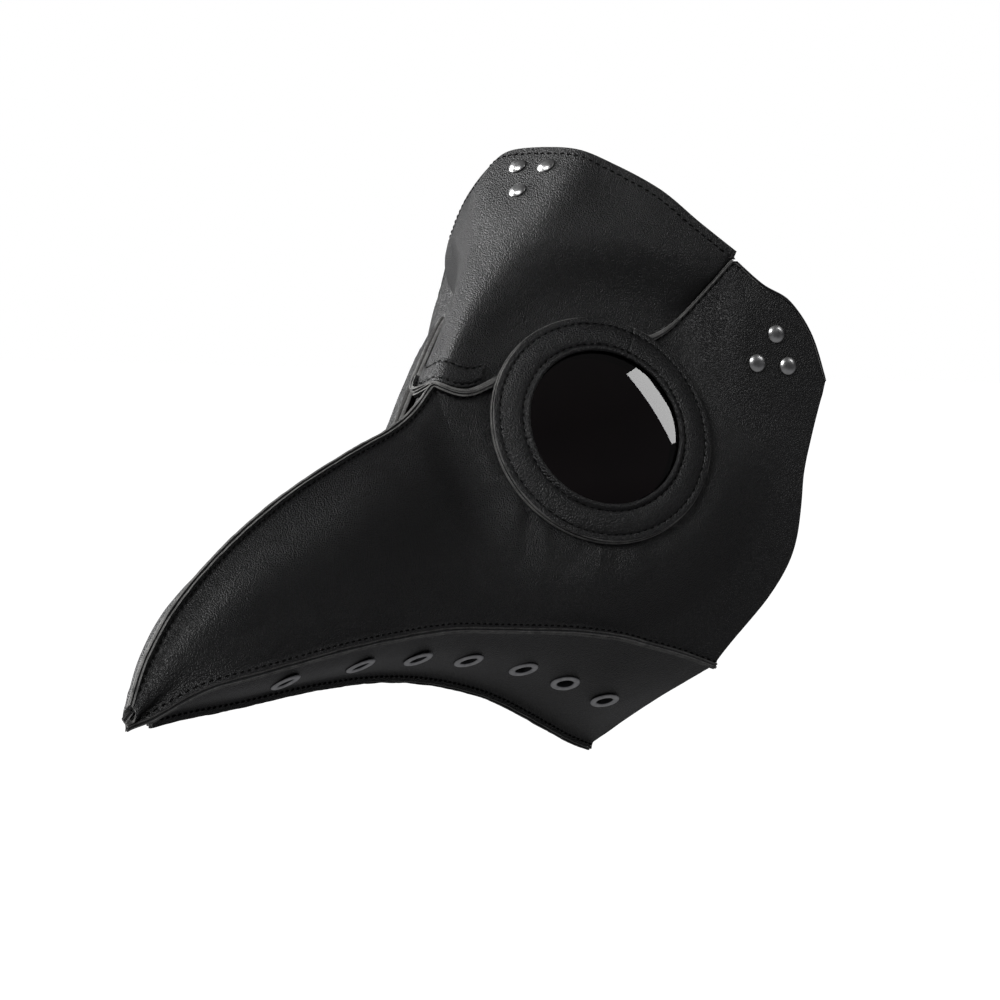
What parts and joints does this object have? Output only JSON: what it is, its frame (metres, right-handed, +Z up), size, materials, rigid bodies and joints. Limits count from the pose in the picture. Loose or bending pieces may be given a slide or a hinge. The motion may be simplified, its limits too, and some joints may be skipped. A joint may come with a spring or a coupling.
{
  "type": "plague doctor mask",
  "caption": "Black leather beaked costume mask with round smoked lenses in padded rings, chin eyelets and riveted, buckled head straps.",
  "frame": {"origin": "on the symmetry plane at the height of the lens centres, in the opening that the wearer's head enters", "axes": "-Y forward along the beak, +X to the wearer's left, +Z up"},
  "size_m": [0.1776, 0.2926, 0.2265],
  "materials": {
    "black_leather": "semi-matt pebbled leather",
    "lining_cloth": "matt brushed backing",
    "strap_leather": "satin",
    "smoked_lens": "polished, smoked brown",
    "black_plastic": "matt",
    "eyelet_metal": "satin gunmetal",
    "rivet_steel": "polished dark nickel",
    "buckle_steel": "polished dark nickel"
  },
  "bodies": {
    "root": {"forehead_panel": "black_leather", "bridge_band": "black_leather", "side_panel_left": "black_leather", "side_panel_right": "black_leather", "chin_panel_left": "black_leather", "chin_panel_right": "black_leather", "eye_ring_base_left": "black_leather", "eye_ring_base_right": "black_leather", "eye_ring_pad_left": "black_leather", "eye_ring_pad_right": "black_leather", "forehead_lining": "lining_cloth", "side_lining_left": "lining_cloth", "side_lining_right": "lining_cloth", "chin_lining_left": "lining_cloth", "chin_lining_right": "lining_cloth", "strap_tab_top": "strap_leather", "strap_tab_left": "strap_leather", "strap_tab_right": "strap_leather", "lens_left": "smoked_lens", "lens_right": "smoked_lens", "lens_seat_left": "black_plastic", "lens_seat_right": "black_plastic", "eyelets_left": "eyelet_metal", "eyelets_right": "eyelet_metal", "eyelet_washers_left": "eyelet_metal", "eyelet_washers_right": "eyelet_metal", "rivet_caps_top": "rivet_steel", "rivet_caps_left": "rivet_steel", "rivet_caps_right": "rivet_steel", "rivet_posts_top": "rivet_steel", "rivet_posts_left": "rivet_steel", "rivet_posts_right": "rivet_steel"},
    "strap_left_run": {"strap_left_run": "strap_leather"},
    "strap_left_tail": {"strap_left_tail": "strap_leather"},
    "strap_right": {"strap_right": "strap_leather", "strap_keeper": "strap_leather"},
    "buckle_frame": {"buckle_frame": "buckle_steel"},
    "buckle_prong": {"buckle_prong": "buckle_steel"},
    "strap_top": {"strap_top": "strap_leather"}
  },
  "joints": [
    {"name": "left_strap_fold", "type": "hinge", "parent": "root", "child": "strap_left_run", "pos_m": [0.07764, 0.06988, 0.03], "axis": [0.2413, 0.2511, -0.9374], "range_deg": [0, 120]},
    {"name": "left_tail_fold", "type": "hinge", "parent": "strap_left_run", "child": "strap_left_tail", "pos_m": [0.04337, 0.04497, 0.0145], "axis": [-0.2413, -0.2511, 0.9374], "range_deg": [0, 150]},
    {"name": "right_strap_fold", "type": "hinge", "parent": "root", "child": "strap_right", "pos_m": [-0.07764, 0.06988, 0.03], "axis": [0.2413, -0.2511, 0.9374], "range_deg": [0, 150]},
    {"name": "buckle_swing", "type": "hinge", "parent": "strap_right", "child": "buckle_frame", "pos_m": [-0.05423, 0.05249, 0.01931], "axis": [0.2413, -0.2511, 0.9374], "range_deg": [0, 45]},
    {"name": "prong_swing", "type": "hinge", "parent": "buckle_frame", "child": "buckle_prong", "pos_m": [-0.05423, 0.05249, 0.01931], "axis": [0.2413, -0.2511, 0.9374], "range_deg": [0, 60]},
    {"name": "top_strap_fold", "type": "hinge", "parent": "root", "child": "strap_top", "pos_m": [0, 0.02088, 0.09467], "axis": [1, 0, 0], "range_deg": [0, 150]}
  ]
}
